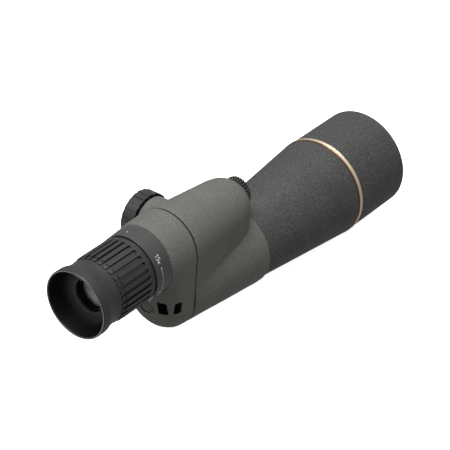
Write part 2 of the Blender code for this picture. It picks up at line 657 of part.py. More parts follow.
# ---------------------------------------------------------------- objective end
def build_objective():
    turned(
        "objective_tube", "grey_texture",
        [(TUBE_X[0], 22.5), (146.3, 22.5), (146.3, 25.1), (226, 33.1), (229.1, 33.1), (229.1, 31.7),
         (TUBE_X[1], 31.7)],
        [(TUBE_X[0], 20.6), (147, 20.6), (150, 23), (226, 30.2), (TUBE_X[1], 30.2)],
        facets=SHELL,
    )
    turned(
        "gold_ring", "gold",
        [(RING_X[0], RING_R - 0.2), (229.7, RING_R), (233.1, RING_R), (RING_X[1], RING_R - 0.2)],
        [(RING_X[0], 32.0), (RING_X[1], 32.0)],
        facets=SHELL,
    )
    turned(
        "objective_hood", "grey_texture",
        [(HOOD_X, HOOD_R), (278.4, HOOD_R), (LENGTH, 32.6)],
        [(HOOD_X, 32.1), (241, 32.1), (241, 31.5), (257.4, 31.5), (257.4, 30.6), (LENGTH, 31.2)],
        facets=SHELL,
    )
    turned(
        "objective_cell", "black_aluminium", [(241, 31.1), (255.4, 31.1)],
        [(241, 25.2), (242.9, 25.2), (242.9, 26.8), (255.4, 26.8)],
    )
    lens("flint_lens", 243.2, 246.6, 26.4, 0.0, -3.2, (0, 0, 0), facets=WIDE)
    tube("lens_spacer", "black_aluminium", 250.1, 250.6, 26.4, 25.4)
    lens("crown_lens", 247.7, 255.9, 26.4, 3.2, 3.2, (0, 0, 0), facets=WIDE)
    tube("objective_retainer", "black_aluminium", 253.2, 255.0, 26.5, 25.1)
    turned("objective_seal", "black_rubber", [(255.7, 30.4), (256.4, 31.1), (257.1, 30.4)],
           [(255.7, 30.3), (256.4, 29.6), (257.1, 30.3)])
    turned("light_baffle", "black_aluminium", [(189.5, 26.3), (190.5, 26.4)], [(189.5, 21), (190.5, 21)])


build_eyepiece()
build_rear_cover()
build_main_housing()
build_prisms()
build_focus_knob()
build_fine_wheel()
build_carriage()
build_objective()
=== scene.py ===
"""Visual model of the spotting scope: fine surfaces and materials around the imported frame.

Lengths are in millimetres, in "axis" coordinates: x runs forward from the eyecup's rim, y to the left,
and z is the height above the objective's axis. An outline is a list of (x, radius, rounding).
"""
import itertools
import json
import math

import bmesh
import bpy
import numpy as np
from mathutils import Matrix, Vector


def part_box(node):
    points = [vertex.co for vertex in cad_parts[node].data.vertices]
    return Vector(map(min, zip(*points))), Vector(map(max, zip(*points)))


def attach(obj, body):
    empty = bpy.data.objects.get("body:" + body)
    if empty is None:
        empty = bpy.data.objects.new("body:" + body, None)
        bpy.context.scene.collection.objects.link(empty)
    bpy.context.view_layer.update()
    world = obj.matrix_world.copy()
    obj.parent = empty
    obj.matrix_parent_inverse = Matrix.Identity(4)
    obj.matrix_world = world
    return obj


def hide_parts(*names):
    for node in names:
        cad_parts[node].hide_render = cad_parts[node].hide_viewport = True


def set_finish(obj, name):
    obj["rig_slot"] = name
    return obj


MM = 0.001
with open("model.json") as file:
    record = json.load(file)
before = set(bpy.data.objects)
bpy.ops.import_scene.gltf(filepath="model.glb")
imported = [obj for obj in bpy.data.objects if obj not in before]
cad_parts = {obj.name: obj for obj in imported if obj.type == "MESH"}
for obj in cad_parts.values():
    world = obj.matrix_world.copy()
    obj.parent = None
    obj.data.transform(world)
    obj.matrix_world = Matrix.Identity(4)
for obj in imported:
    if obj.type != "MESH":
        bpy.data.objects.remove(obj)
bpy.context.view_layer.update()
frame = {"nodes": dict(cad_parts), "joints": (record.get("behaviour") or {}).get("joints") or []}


# ---------------------------------------------------------------- the frame's measures
def in_mm(metres):
    """Places of the frame in millimetres, to the nearest thousandth."""
    return np.round(np.array(metres) / MM, 3)


SHIFT = np.array([in_mm(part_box("eyecup"))[0, 0], 0, in_mm(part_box("objective_hood"))[:, 2].mean()])


def ends(node, axis=0):
    """Lowest and highest millimetre of a CAD node along an axis."""
    return (in_mm(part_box(node)) - SHIFT)[:, axis]


def shaft(joint):
    """The place that a joint turns about."""
    return next(in_mm(j["pos_m"]) - SHIFT for j in frame["joints"] if j["name"] == joint)


EYE = shaft("zoom_ring_turn")[2]            # height of the eyepiece's axis
KNOB = shaft("focus_knob_turn")[[0, 2]]     # x and z of the focus shaft
WHEEL = shaft("fine_wheel_turn")[2]         # height of the fine wheel's axis

# ---------------------------------------------------------------- driving dimensions
EYE_OPENING_R = 10.5                        # opening in the eyecup, round the eye lens
GRIP_R, GRIP_FLOOR_R = 21.12, 19.85         # zoom grip's lands, and the floors of its grooves
GROOVES, GROOVE_HALF = 30, 1.06             # how many, and half the width of one
GROOVE_STOP = 40.5                          # x of the middle of a groove's round end
GROOVE_START = math.radians(3)              # first groove, from the top
SCALE_X, SCALE_R = 46.4, 21.55              # back of the scale ring's printed face
SCALE_SLOPE = 0.0508                        # how the face widens forward
PRINT_R = 21.85                             # radius on which the scale's marks are spaced
FIRST_NUMBER, NUMBER_STEP = 57, 64.67       # degrees from the top

COVER_X, SEAM_X, HOUSING_X = 58.55, (79.95, 80.65), 80.75   # back faces, and the seam's two sides
NOSE_X, COLLAR_X = 142, 146                 # front faces of the upper housing and of the cone
# Smooth curves through (x, value): radius of the top, height and radius of the cover's foot, and
# radius of the cone round the objective's axis.
TOP_RADIUS = ((58.5, 22.25), (63, 22.75), (76, 23.0), (84, 22.7), (90, 22.1), (134, 18.1))
FOOT_EDGE = (
    (58.5, 12.2), (59.7, 0), (61.7, -8), (64.5, -13.5), (68.5, -17.5), (73.5, -19.9), (80, -20.6),
)
FOOT_RADIUS = ((58.5, 8), (59.7, 11), (61.7, 14.3), (64.5, 17.2), (68.5, 19.2), (73.5, 20.2), (80, 20.6))
CONE = ((80, 20.65), (94, 21.84), (115, 23.77), (137, 25.64), (141, 26.0), (144.9, 26.1), (146, 26.1))
NOSE_CENTRE, NOSE_RADIUS = 130.3, 17.1      # ball that rounds the upper housing's front
LEAN = math.radians(5.1)                    # the side walls lean in towards the bottom
BACK_WALL, WALL, THIN_WALL = 2.6, 2.2, 2    # cover's back; its sides and the cone; upper housing
MOUNT = -SHIFT[:2]                          # x and y of the tripod thread, the frame's origin
EYE_BORE_R, MOUNT_BORE_R, SHAFT_BORE_R, SCREW_BORE_R = 15.5, 4.9, 4.8, 4.3
NECK_R, NECK_END = 15.6, ends("main_housing", 1)[1]         # focus neck, and how far left it reaches
BADGE, TILT = (60.2, 0.0, 0.2), math.radians(10)            # its seat, which leans like the cover
BADGE_HALF, BADGE_SHAPE = 5.6, 0.74         # half its width, and its height over its width

KNOB_R, KNOB_TEETH, KNOB_TOOTH = 17.0, 22, 0.6              # radius, teeth, and depth of a tooth
WHEEL_R, WHEEL_TEETH, WHEEL_TOOTH = 9.8, 30, 0.9
TUBE_R, BAND_R, RIDGE_R = 33.15, 33.1, 33.5                 # barrel's front, gold band and its ridges

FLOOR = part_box("gold_ring")[0][2] - 0.2 * MM  # metres, just under the lowest ring
SKY = (0.34, 0.82)                          # brightness from below and from above
LIGHTS = (                                  # name, place, aim, size and power
    ("key", (-0.2, 0.0, 1.2), (0.03, 0, 0.05), 0.6, 14),
    ("low_card", (-0.42, 0.26, -0.21), (-0.095, 0, 0.058), 0.3, 1.5),
)
CAMERA_PLACE = (-0.77404, -0.63352, 0.69979)
CAMERA_TURN, CAMERA_RISE, CAMERA_LENS = 0.672, 0.5726, 160  # radians from +x and down, and millimetres


# ---------------------------------------------------------------- meshes
def add(name, shell, body, slot, replaces, material, sharp=40):
    """A piece from (points in axis millimetres, faces), riding on its body."""
    verts, faces = shell
    points = (np.asarray(verts, float) + SHIFT) * MM
    mesh = bpy.data.meshes.new(name)
    mesh.from_pydata(points.tolist(), [], [list(map(int, face)) for face in faces])
    mesh.validate()
    work = bmesh.new()
    work.from_mesh(mesh)
    bmesh.ops.recalc_face_normals(work, faces=work.faces)
    work.to_mesh(mesh)
    work.free()
    mesh.polygons.foreach_set("use_smooth", [True] * len(mesh.polygons))
    mesh.set_sharp_from_angle(angle=math.radians(sharp))
    piece = bpy.data.objects.new(name, mesh)
    bpy.context.scene.collection.objects.link(piece)
    mesh.materials.append(material)
    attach(piece, body)
    if replaces:
        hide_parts(*replaces)
    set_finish(piece, slot)
    return piece


def paint_shade_on(piece, where):
    """Paints shade: gives the faces whose middles pass the test the near-black painted-shade material."""
    piece.data.materials.append(PAINTED_SHADE)
    middles = np.array([face.center for face in piece.data.polygons]) / MM - SHIFT
    piece.data.polygons.foreach_set("material_index", where(*middles.T).astype(int).tolist())


def fillet(profile, steps=5):
    """Closed outline with each corner rounded."""
    out = []
    count = len(profile)
    for i, (x, radius, size) in enumerate(profile):
        here = np.array((x, radius), float)
        before = np.array(profile[i - 1][:2], float) - here
        after = np.array(profile[(i + 1) % count][:2], float) - here
        reach_before = min(size, 0.45 * np.linalg.norm(before))
        reach_after = min(size, 0.45 * np.linalg.norm(after))
        start = here + before / np.linalg.norm(before) * reach_before
        end = here + after / np.linalg.norm(after) * reach_after
        for t in np.linspace(0, 1, steps):
            out.append((1 - t) ** 2 * start + 2 * t * (1 - t) * here + t * t * end)
    return np.array(out)


def revolve(profile, angles, along="x", centre=(0, 0), shape=None):
    """Points and faces of a closed outline turned about an axis, which crosses the other two at "centre".

    The angles are a list or how many there are, and run from the top to the right.
    """
    profile = np.asarray(profile, float)
    if np.isscalar(angles):
        angles = np.arange(angles) * 2 * math.pi / angles
    rows, columns = len(profile), len(angles)
    station = np.repeat(profile[:, :1], columns, axis=1)
    radius = np.repeat(profile[:, 1:2], columns, axis=1)
    turn = np.repeat(np.asarray(angles)[None, :], rows, axis=0)
    if shape is not None:
        radius = shape(station, radius, turn)
    up = centre[1] + radius * np.cos(turn)
    if along == "x":
        points = np.stack([station, centre[0] - radius * np.sin(turn), up], -1)
    else:
        points = np.stack([centre[0] + radius * np.sin(turn), station, up], -1)
    faces = []
    index = np.arange(rows * columns).reshape(rows, columns)
    pole = profile[:, 1] < 1e-6
    for i in range(rows):
        j = (i + 1) % rows
        if pole[i] and pole[j]:
            continue
        for k in range(columns):
            m = (k + 1) % columns
            if pole[i]:
                faces.append((index[i, 0], index[j, m], index[j, k]))
            elif pole[j]:
                faces.append((index[i, k], index[i, m], index[j, 0]))
            else:
                faces.append((index[i, k], index[i, m], index[j, m], index[j, k]))
    used = sorted({v for face in faces for v in face})
    renumber = {v: n for n, v in enumerate(used)}
    return points.reshape(-1, 3)[used], [[renumber[v] for v in face] for face in faces]


def lathe(profile, segments, height=0):
    """Rounded outline turned about the axis at a height."""
    return revolve(fillet(profile), segments, centre=(0, height))


def ease(a, b, share):
    """From a to b with a soft start and end."""
    t = np.clip(share, 0, 1)
    return a + (b - a) * t * t * (3 - 2 * t)


# ---------------------------------------------------------------- solid fields
def smooth_min(a, b, k):
    """Union of two fields with a fillet of about k."""
    h = np.clip(0.5 + 0.5 * (b - a) / k, 0, 1)
    return b + (a - b) * h - k * h * (1 - h)


def smooth_max(a, b, k):
    return -smooth_min(-a, -b, k)


def table(x, pairs):
    """Smooth monotone curve through a list of (x, value) pairs."""
    xs, vs = np.array(pairs, float).T
    rise = np.diff(vs) / np.diff(xs)
    slope = np.zeros(len(xs))
    slope[0], slope[-1] = rise[0], rise[-1]
    same = rise[:-1] * rise[1:] > 0
    inner = 2 * rise[:-1] * rise[1:] / np.where(same, rise[:-1] + rise[1:], 1)
    slope[1:-1] = np.where(same, inner, 0)
    x = np.clip(x, xs[0], xs[-1])
    i = np.clip(np.searchsorted(xs, x, side="right") - 1, 0, len(xs) - 2)
    width = xs[i + 1] - xs[i]
    t = (x - xs[i]) / width
    return ((1 + 2 * t) * (1 - t) ** 2 * vs[i] + t * (1 - t) ** 2 * width * slope[i]
            + t * t * (3 - 2 * t) * vs[i + 1] + t * t * (t - 1) * width * slope[i + 1])


def slab(v, low, high):
    return np.abs(v - (low + high) / 2) - (high - low) / 2


def round_bar(a, b, centre, radius):
    """Endless cylinder across the plane of a and b."""
    return np.hypot(a - centre[0], b - centre[1]) - radius


def block(x, y, z, low, high, rounding):
    """Rounded box."""
    q = [slab(v, a + rounding, b - rounding) for v, a, b in zip((x, y, z), low, high)]
    outside = np.sqrt(sum(np.maximum(v, 0) ** 2 for v in q))
    return outside + np.minimum(np.maximum(np.maximum(q[0], q[1]), q[2]), 0) - rounding


def pear(x, y, z, inset):
    """Rear cover's section: two circles and the flat sides between them."""
    top = table(x, TOP_RADIUS) - inset
    foot = np.maximum(table(x, FOOT_RADIUS) - inset, 3)
    low = table(x, FOOT_EDGE) + inset + foot
    rise = np.maximum(EYE - low, np.abs(top - foot) + 0.1)
    lean = np.arcsin(np.clip((top - foot) / rise, -1, 1))
    side = np.abs(y)
    height = z - EYE
    along = height * np.cos(lean) + side * np.sin(lean)
    wall = side * np.cos(lean) - height * np.sin(lean) - top
    upper = np.hypot(side, height) - top
    lower = np.hypot(side, height + rise) - foot
    span = rise * np.cos(lean)
    return np.where(along > 0, upper, np.where(along < -span, lower, wall))


def strap_windows(x, y, z):
    """Two windows on each side that meet behind the strap bar."""
    side = np.abs(y)
    rear = block(x, side, z, (50, 8.9, -1.2), (69.0, 14.5, 7.7), 1.0)
    flank = block(x, side, z, (64.9, 9.1, -1.0), (69.5, 30, 7.5), 1.2)
    return np.minimum(rear, flank)


def badge_seat(x, y, z):
    """Shallow oval recess for the badge."""
    along = (x - BADGE[0]) * math.cos(TILT) - (z - BADGE[2]) * math.sin(TILT)
    up = (x - BADGE[0]) * math.sin(TILT) + (z - BADGE[2]) * math.cos(TILT)
    oval = np.hypot(y, up / BADGE_SHAPE) - (BADGE_HALF + 0.7)
    return np.maximum(oval, slab(along, -3, 0.9))


def cover_field(x, y, z):
    """Hollow rear cover, thick round the strap windows, with the eyepiece's bore."""
    shell = smooth_max(pear(x, y, z, 0), slab(x, COVER_X, SEAM_X[0] - 0.1), 0.9)
    cavity = smooth_max(pear(x - BACK_WALL, y, z, WALL), slab(x, 61.1, 90), 0.8)
    strap_wall = block(x, np.abs(y), z, (50, 6.9, -3.0), (71.2, 30, 10.5), 0.5)
    cavity = smooth_max(cavity, -strap_wall, 0.6)
    solid = smooth_max(shell, -cavity, 0.6)
    solid = smooth_max(solid, -round_bar(y, z, (0, EYE), EYE_BORE_R), 0.4)
    solid = smooth_max(solid, -badge_seat(x, y, z), 0.5)
    return smooth_max(solid, -strap_windows(x, y, z), 0.35)


def arch(x, y, z, inset):
    """Upper housing's section: round on top, with walls that lean in."""
    ball = np.sqrt(np.maximum(NOSE_RADIUS ** 2 - (x - NOSE_CENTRE) ** 2, 1)) + 1
    top = table(x, TOP_RADIUS)
    top = np.where(x > NOSE_CENTRE, smooth_min(top, ball, 0.5), top) - inset
    side = np.abs(y)
    height = z - EYE
    wall = side * math.cos(LEAN) - height * math.sin(LEAN) - top
    round_part = np.hypot(side, height) - top
    return np.where(height > -side * math.tan(LEAN), round_part, wall)


def housing_outside(x, y, z):
    """Upper housing, cone, focus neck and tripod pad; their creases soften towards the rear."""
    upper = smooth_max(arch(x, y, z, 0), slab(x, HOUSING_X, NOSE_X), 0.8)
    upper = np.maximum(upper, 2 - z)
    cone = smooth_max(np.hypot(y, z) - table(x, CONE), slab(x, HOUSING_X, COLLAR_X), 0.8)
    neck = smooth_max(round_bar(x, z, KNOB, NECK_R), slab(y, 2, NECK_END), 1.0)
    pad = block(x, y, z, (MOUNT[0] - 11, -7, -24), (MOUNT[0] + 11, 7, -16), 0.8)
    solid = smooth_min(upper, cone, np.interp(x, (86, 108, 138), (4.0, 0.8, 0.25)))
    solid = np.maximum(solid, HOUSING_X - x)
    solid = smooth_min(solid, neck, 0.8)
    return smooth_min(solid, pad, 1.2)


def housing_hollow(x, y, z):
    """Room inside the housing, less the boss of the tripod insert."""
    rooms = (
        np.maximum(arch(x, y, z, THIN_WALL), np.maximum(slab(x, 70, 139), 4 - z)),
        np.maximum(np.hypot(y, z) - table(x, CONE) + WALL, slab(x, 70, 135.5)),
        np.maximum(np.hypot(y, z) - 22.9, slab(x, 134, 150)),
        np.maximum(round_bar(x, z, KNOB, 13.3), slab(y, 5, 32)),
    )
    boss = np.maximum(round_bar(x, y, MOUNT, 7), z + 15)
    return np.maximum(np.minimum.reduce(rooms), -boss)


def housing_field(x, y, z):
    """Main housing with its three bores: tripod insert, focus shaft and fine screw."""
    solid = smooth_max(housing_outside(x, y, z), -housing_hollow(x, y, z), 0.5)
    solid = np.maximum(solid, -np.maximum(round_bar(x, y, MOUNT, MOUNT_BORE_R), z + 16))
    solid = np.maximum(solid, -np.maximum(round_bar(x, z, KNOB, SHAFT_BORE_R), 30 - y))
    return np.maximum(solid, -np.maximum(round_bar(y, z, (0, WHEEL), SCREW_BORE_R), 136 - x))


def seam_field(x, y, z):
    """Flat ring between the cover and the housing."""
    at = SEAM_X[0] - 0.15 + 0 * x
    ring = np.maximum(pear(at, y, z, 0.45), -pear(at, y, z, 2.0))
    return smooth_max(ring, slab(x, *SEAM_X), 0.1)


def polygonise(field, low, high, step):
    """Closed quad mesh where the field is zero, with its points drawn onto the surface."""
    low, high = np.array(low, float) - 2 * step, np.array(high, float) + 2 * step
    value = field(*np.meshgrid(*(np.arange(a, b, step) for a, b in zip(low, high)), indexing="ij"))
    inside = value < 0
    cells = np.array(inside.shape) - 1
    corners = list(itertools.product((0, 1), repeat=3))
    count = sum(inside[a:a + cells[0], b:b + cells[1], c:c + cells[2]].astype(int) for a, b, c in corners)
    active = (count > 0) & (count < 8)
    index = np.full(active.shape, -1)
    index[active] = np.arange(active.sum())
    where = np.argwhere(active)
    total, weight = np.zeros((len(where), 3)), np.zeros(len(where))
    for a, b in itertools.combinations(np.array(corners), 2):
        if np.abs(a - b).sum() != 1:
            continue
        value_a, value_b = value[tuple((where + a).T)], value[tuple((where + b).T)]
        crosses = (value_a < 0) != (value_b < 0)
        share = (value_a / np.where(crosses, value_a - value_b, 1))[:, None]
        total += np.where(crosses[:, None], a + share * (b - a), 0)
        weight += crosses
    points = draw_on(field, low + step * (where + total / weight[:, None]), 0.3 * step)
    faces = []
    for axis in range(3):
        lower, upper = [slice(None)] * 3, [slice(None)] * 3
        lower[axis], upper[axis] = slice(0, -1), slice(1, None)
        first, second = inside[tuple(lower)], inside[tuple(upper)]
        edges = np.argwhere(first != second)
        outward = first[tuple(edges.T)]
        u, v = np.eye(3, dtype=int)[[(axis + 1) % 3, (axis + 2) % 3]]
        quad = np.stack([index[tuple((edges - d).T)] for d in (0 * u, u, u + v, v)], -1)
        faces.append(np.where(outward[:, None], quad, quad[:, ::-1]))
    return points, np.concatenate(faces)


def draw_on(field, points, limit, rounds=4, reach=0.04):
    """Newton steps, none longer than the limit, that take the points to the field's zero."""
    for _ in range(rounds):
        here = field(*points.T)
        slope = np.stack([(field(*(points + d).T) - field(*(points - d).T)) / (2 * reach)
                          for d in np.eye(3) * reach], -1)
        move = slope * (here / np.maximum((slope ** 2).sum(-1), 0.05))[:, None]
        size = np.linalg.norm(move, axis=1, keepdims=True)
        points = points - move * np.minimum(1, limit / np.maximum(size, 1e-9))
    return points


def tidy_solid(piece):
    """Joins doubled points and turns the faces outward."""
    work = bmesh.new()
    work.from_mesh(piece.data)
    bmesh.ops.remove_doubles(work, verts=work.verts, dist=1e-6)
    bmesh.ops.recalc_face_normals(work, faces=work.faces)
    work.to_mesh(piece.data)
    work.free()
    piece.data.polygons.foreach_set("use_smooth", [True] * len(piece.data.polygons))


# ---------------------------------------------------------------- materials
class Look:
    """A procedural material, with sizes given in millimetres."""

    def __init__(self, name, roughness=0.5, metallic=0.0):
        self.material = bpy.data.materials.new(name)
        self.material.use_nodes = True
        self.tree = self.material.node_tree
        self.shader = self.tree.nodes["Principled BSDF"]
        self.put("Roughness", roughness)
        self.put("Metallic", metallic)
        self.place = self.node("ShaderNodeTexCoord").outputs["Object"]

    def put(self, name, value):
        self.shader.inputs[name].default_value = value

    def node(self, kind, **values):
        made = self.tree.nodes.new(kind)
        for key, value in values.items():
            setattr(made, key, value)
        return made

    def link(self, output, target):
        self.tree.links.new(output, target)

    def stretched(self, scale):
        mapping = self.node("ShaderNodeMapping")
        mapping.inputs["Scale"].default_value = scale
        self.link(self.place, mapping.inputs["Vector"])
        return mapping.outputs["Vector"]

    def noise(self, size, detail=3.0, rough=0.5, stretch=None):
        made = self.node("ShaderNodeTexNoise")
        made.inputs["Scale"].default_value = 1 / (size * MM)
        made.inputs["Detail"].default_value = detail
        made.inputs["Roughness"].default_value = rough
        self.link(self.stretched(stretch) if stretch else self.place, made.inputs["Vector"])
        return made.outputs["Fac"]

    def cells(self, size, feature="F1"):
        made = self.node("ShaderNodeTexVoronoi", feature=feature)
        made.inputs["Scale"].default_value = 1 / (size * MM)
        self.link(self.place, made.inputs["Vector"])
        return made.outputs["Distance"]

    def distance(self, centre, axes, start, end):
        """0 to 1 as the distance from a place, along some of the frame's axes, grows from start to end."""
        offset = self.node("ShaderNodeVectorMath", operation="SUBTRACT")
        offset.inputs[1].default_value = [v * MM for v in centre]
        self.link(self.stretched(axes), offset.inputs[0])
        span = self.node("ShaderNodeVectorMath", operation="LENGTH")
        self.link(offset.outputs["Vector"], span.inputs[0])
        reach = self.node("ShaderNodeMapRange")
        reach.inputs["From Min"].default_value = start * MM
        reach.inputs["From Max"].default_value = end * MM
        self.link(span.outputs["Value"], reach.inputs["Value"])
        return reach.outputs["Result"]

    def ramp(self, factor, *stops):
        """Colours along a factor, from stops of (place, grey) or (place, (red, green, blue))."""
        made = self.node("ShaderNodeValToRGB")
        ramp = made.color_ramp
        while len(ramp.elements) < len(stops):
            ramp.elements.new(0.5)
        for element, (place, colour) in zip(ramp.elements, stops):
            element.position = place
            element.color = (*colour, 1) if isinstance(colour, tuple) else (colour, colour, colour, 1)
        self.link(factor, made.inputs["Fac"])
        return made.outputs["Color"]

    def mottled(self, size, detail, first, second):
        """Two tones in soft patches."""
        return self.ramp(self.noise(size, detail), (0.3, first), (0.7, second))

    def blend(self, kind, factor, a, b):
        made = self.node("ShaderNodeMix", data_type="RGBA", blend_type=kind)
        made.inputs["Factor"].default_value = factor
        self.link(a, made.inputs["A"])
        self.link(b, made.inputs["B"])
        return made.outputs["Result"]

    def colour(self, output):
        self.link(output, self.shader.inputs["Base Color"])

    def rough(self, factor, low, high):
        made = self.node("ShaderNodeMapRange")
        made.inputs["To Min"].default_value = low
        made.inputs["To Max"].default_value = high
        self.link(factor, made.inputs["Value"])
        self.link(made.outputs["Result"], self.shader.inputs["Roughness"])

    def bump(self, *layers):
        """Stacked relief, each layer a (height, strength, depth)."""
        normal = None
        for height, strength, depth in layers:
            made = self.node("ShaderNodeBump")
            made.inputs["Strength"].default_value = strength
            made.inputs["Distance"].default_value = depth * MM
            self.link(height, made.inputs["Height"])
            if normal:
                self.link(normal, made.inputs["Normal"])
            normal = made.outputs["Normal"]
        self.link(normal, self.shader.inputs["Normal"])


def edge_wear(look, base, worn, amount):
    """Lightens the edges a little, as handling does."""
    point = look.node("ShaderNodeNewGeometry").outputs["Pointiness"]
    scaled = look.node("ShaderNodeMath", operation="MULTIPLY")
    scaled.inputs[1].default_value = amount
    look.link(look.ramp(point, (0.5, 0), (0.56, 1)), scaled.inputs[0])
    made = look.node("ShaderNodeMix", data_type="RGBA")
    made.inputs["B"].default_value = (*worn, 1)
    look.link(scaled.outputs["Value"], made.inputs["Factor"])
    look.link(base, made.inputs["A"])
    return made.outputs["Result"]


def green_armour():
    look = Look("green_armour_rubber")
    broad = look.mottled(22, 3, (0.188, 0.187, 0.168), (0.212, 0.209, 0.190))
    grain = look.ramp(look.noise(0.75, 3, 0.7), (0.34, 0.50), (0.5, 0.66), (0.66, 0.93))
    speck = look.ramp(look.cells(0.8), (0.0, 1.0), (0.25, 0.72), (1.0, 0.68))
    base = look.blend("MULTIPLY", 1.0, broad, grain)
    look.colour(look.blend("MULTIPLY", 0.7, base, speck))
    look.rough(look.noise(0.5, 3), 0.52, 0.72)
    look.bump((look.noise(0.34, 2, 0.6), 0.35, 0.10), (look.noise(1.4, 3), 0.15, 0.12))
    look.put("Specular IOR Level", 0.35)
    return look.material


def grey_texture():
    look = Look("pebbled_grey_rubber")
    broad = look.mottled(18, 3, (0.080, 0.080, 0.078), (0.096, 0.096, 0.094))
    pebble = look.cells(0.95, "DISTANCE_TO_EDGE")
    # Painted shade: darker in the creases between the pebbles.
    crease = look.ramp(pebble, (0.0, 0.5), (0.16, 0.9), (1.0, 1.0))
    fine = look.ramp(look.noise(0.8, 3, 0.75), (0.36, 0.28), (0.5, 0.54), (0.62, 1.15))
    base = look.blend("MULTIPLY", 0.9, broad, crease)
    look.colour(look.blend("MULTIPLY", 1.0, base, fine))
    look.rough(look.noise(0.6, 3), 0.50, 0.68)
    domed = look.ramp(pebble, (0.0, 0.0), (0.25, 0.75), (0.6, 1.0))
    look.bump((domed, 0.55, 0.14), (look.noise(0.4, 3), 0.25, 0.08))
    look.put("Specular IOR Level", 0.5)
    return look.material


def black_rubber():
    look = Look("black_rubber_matte")
    broad = look.mottled(9, 4, 0.012, 0.017)
    grain = look.mottled(0.22, 2, 0.85, 1.15)
    base = look.blend("MULTIPLY", 1.0, broad, grain)
    look.colour(edge_wear(look, base, (0.05, 0.05, 0.05), 0.12))
    look.rough(look.noise(0.8, 4), 0.38, 0.50)
    look.bump((look.noise(0.22, 2), 0.22, 0.05), (look.noise(2.5, 3), 0.08, 0.1))
    look.put("Specular IOR Level", 0.62)
    return look.material


def black_satin():
    look = Look("black_satin_plastic")
    broad = look.mottled(7, 4, (0.024, 0.024, 0.024), (0.031, 0.031, 0.030))
    grain = look.mottled(0.18, 2, 0.9, 1.12)
    base = look.blend("MULTIPLY", 1.0, broad, grain)
    look.colour(edge_wear(look, base, (0.06, 0.06, 0.06), 0.3))
    look.rough(look.noise(0.6, 4), 0.30, 0.42)
    look.bump((look.noise(0.18, 2), 0.15, 0.04))
    look.put("Specular IOR Level", 0.8)
    return look.material


def gold():
    """Fine turned lines, and painted shade that darkens the band to dark copper towards both edges."""
    look = Look("gold_anodised", metallic=1.0)
    lines = look.noise(0.16, 2, stretch=(1, 0.02, 0.02))
    base = look.ramp(lines, (0.25, (0.66, 0.48, 0.33)), (0.55, (0.90, 0.74, 0.56)),
                     (0.8, (0.98, 0.90, 0.78)))
    middle = in_mm(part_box("gold_ring"))[:, 0].mean()
    # Painted shade: darker towards both edges of the band.
    from_middle = look.distance((middle, 0, 0), (1, 0, 0), 0, 2)
    edge = look.ramp(from_middle, (0.60, 1.0), (0.76, (0.24, 0.16, 0.11)))
    look.colour(look.blend("MULTIPLY", 1.0, base, edge))
    look.rough(look.noise(0.5, 3), 0.28, 0.42)
    look.bump((lines, 0.35, 0.05))
    return look.material


def glass(name, tint, coat):
    look = Look(name)
    look.colour(look.mottled(11, 2, tint, coat))
    look.rough(look.noise(3, 4), 0.02, 0.05)
    look.put("Transmission Weight", 1.0)
    look.put("IOR", 1.52)
    look.put("Coat Weight", 0.6)
    look.bump((look.noise(2.5, 2), 0.01, 0.02))
    return look.material


def metal(name, dark, light, low, high, metallic=1.0):
    """Turned metal from dark to light, with a roughness from low to high."""
    look = Look(name, metallic=metallic)
    worn = tuple(min(1, c * 1.7 + 0.03) for c in light)
    look.colour(edge_wear(look, look.mottled(2.2, 4, dark, light), worn, 0.5))
    look.rough(look.noise(0.7, 4), low, high)
    look.bump((look.noise(0.12, 3, stretch=(1, 0.15, 0.15)), 0.2, 0.03))
    return look.material


def white_mark():
    look = Look("white_print")
    look.colour(look.mottled(0.3, 3, (0.48, 0.48, 0.47), (0.62, 0.62, 0.61)))
    look.rough(look.noise(0.4, 3), 0.45, 0.6)
    look.bump((look.noise(0.2, 2), 0.2, 0.02))
    return look.material


def painted_shade_look():
    """Painted shade: dull near-black rubber colour for the eyecup's inside, the seam and the grooves, a
    little lighter near the eye lens and darker away from it, where the shade deepens.
    """
    look = Look("painted_shade_black")
    # Painted shade: lightest round the eye opening, near black further out.
    from_axis = look.distance((0, 0, EYE + SHIFT[2]), (0, 1, 1), EYE_OPENING_R, EYE_OPENING_R + 10)
    fade = look.ramp(from_axis, (0.0, 0.16), (0.10, 0.085), (0.45, 0.055), (0.62, 0.028), (0.78, 0.006),
                     (1.0, 0.002))
    look.colour(look.blend("MULTIPLY", 1.0, fade, look.mottled(5, 4, 0.8, 1.0)))
    look.rough(look.noise(0.8, 4), 0.55, 0.7)
    look.bump((look.noise(0.3, 2), 0.2, 0.05))
    look.put("Specular IOR Level", 0.12)
    return look.material


def painted_reflection_lens():
    """The eye lens: coated glass with a painted reflection, a mottled soft grey base colour standing in for
    the room behind the user.
    """
    look = Look("eye_lens_painted_reflection")
    # Painted reflection: a mottled soft grey base colour.
    look.colour(look.mottled(6, 2, (0.42, 0.43, 0.44), (0.80, 0.81, 0.82)))
    look.rough(look.noise(3, 3), 0.06, 0.14)
    look.put("Transmission Weight", 0.2)
    look.put("Coat Weight", 0.8)
    look.bump((look.noise(2.5, 2), 0.02, 0.02))
    return look.material


def pale_floor():
    """Glows a little, so that the ground stays near white."""
    look = Look("pale_floor", roughness=0.9)
    look.colour(look.mottled(40, 3, 0.93, 0.96))
    look.put("Emission Color", (1, 1, 1, 1))
    look.put("Emission Strength", 0.85)
    return look.material


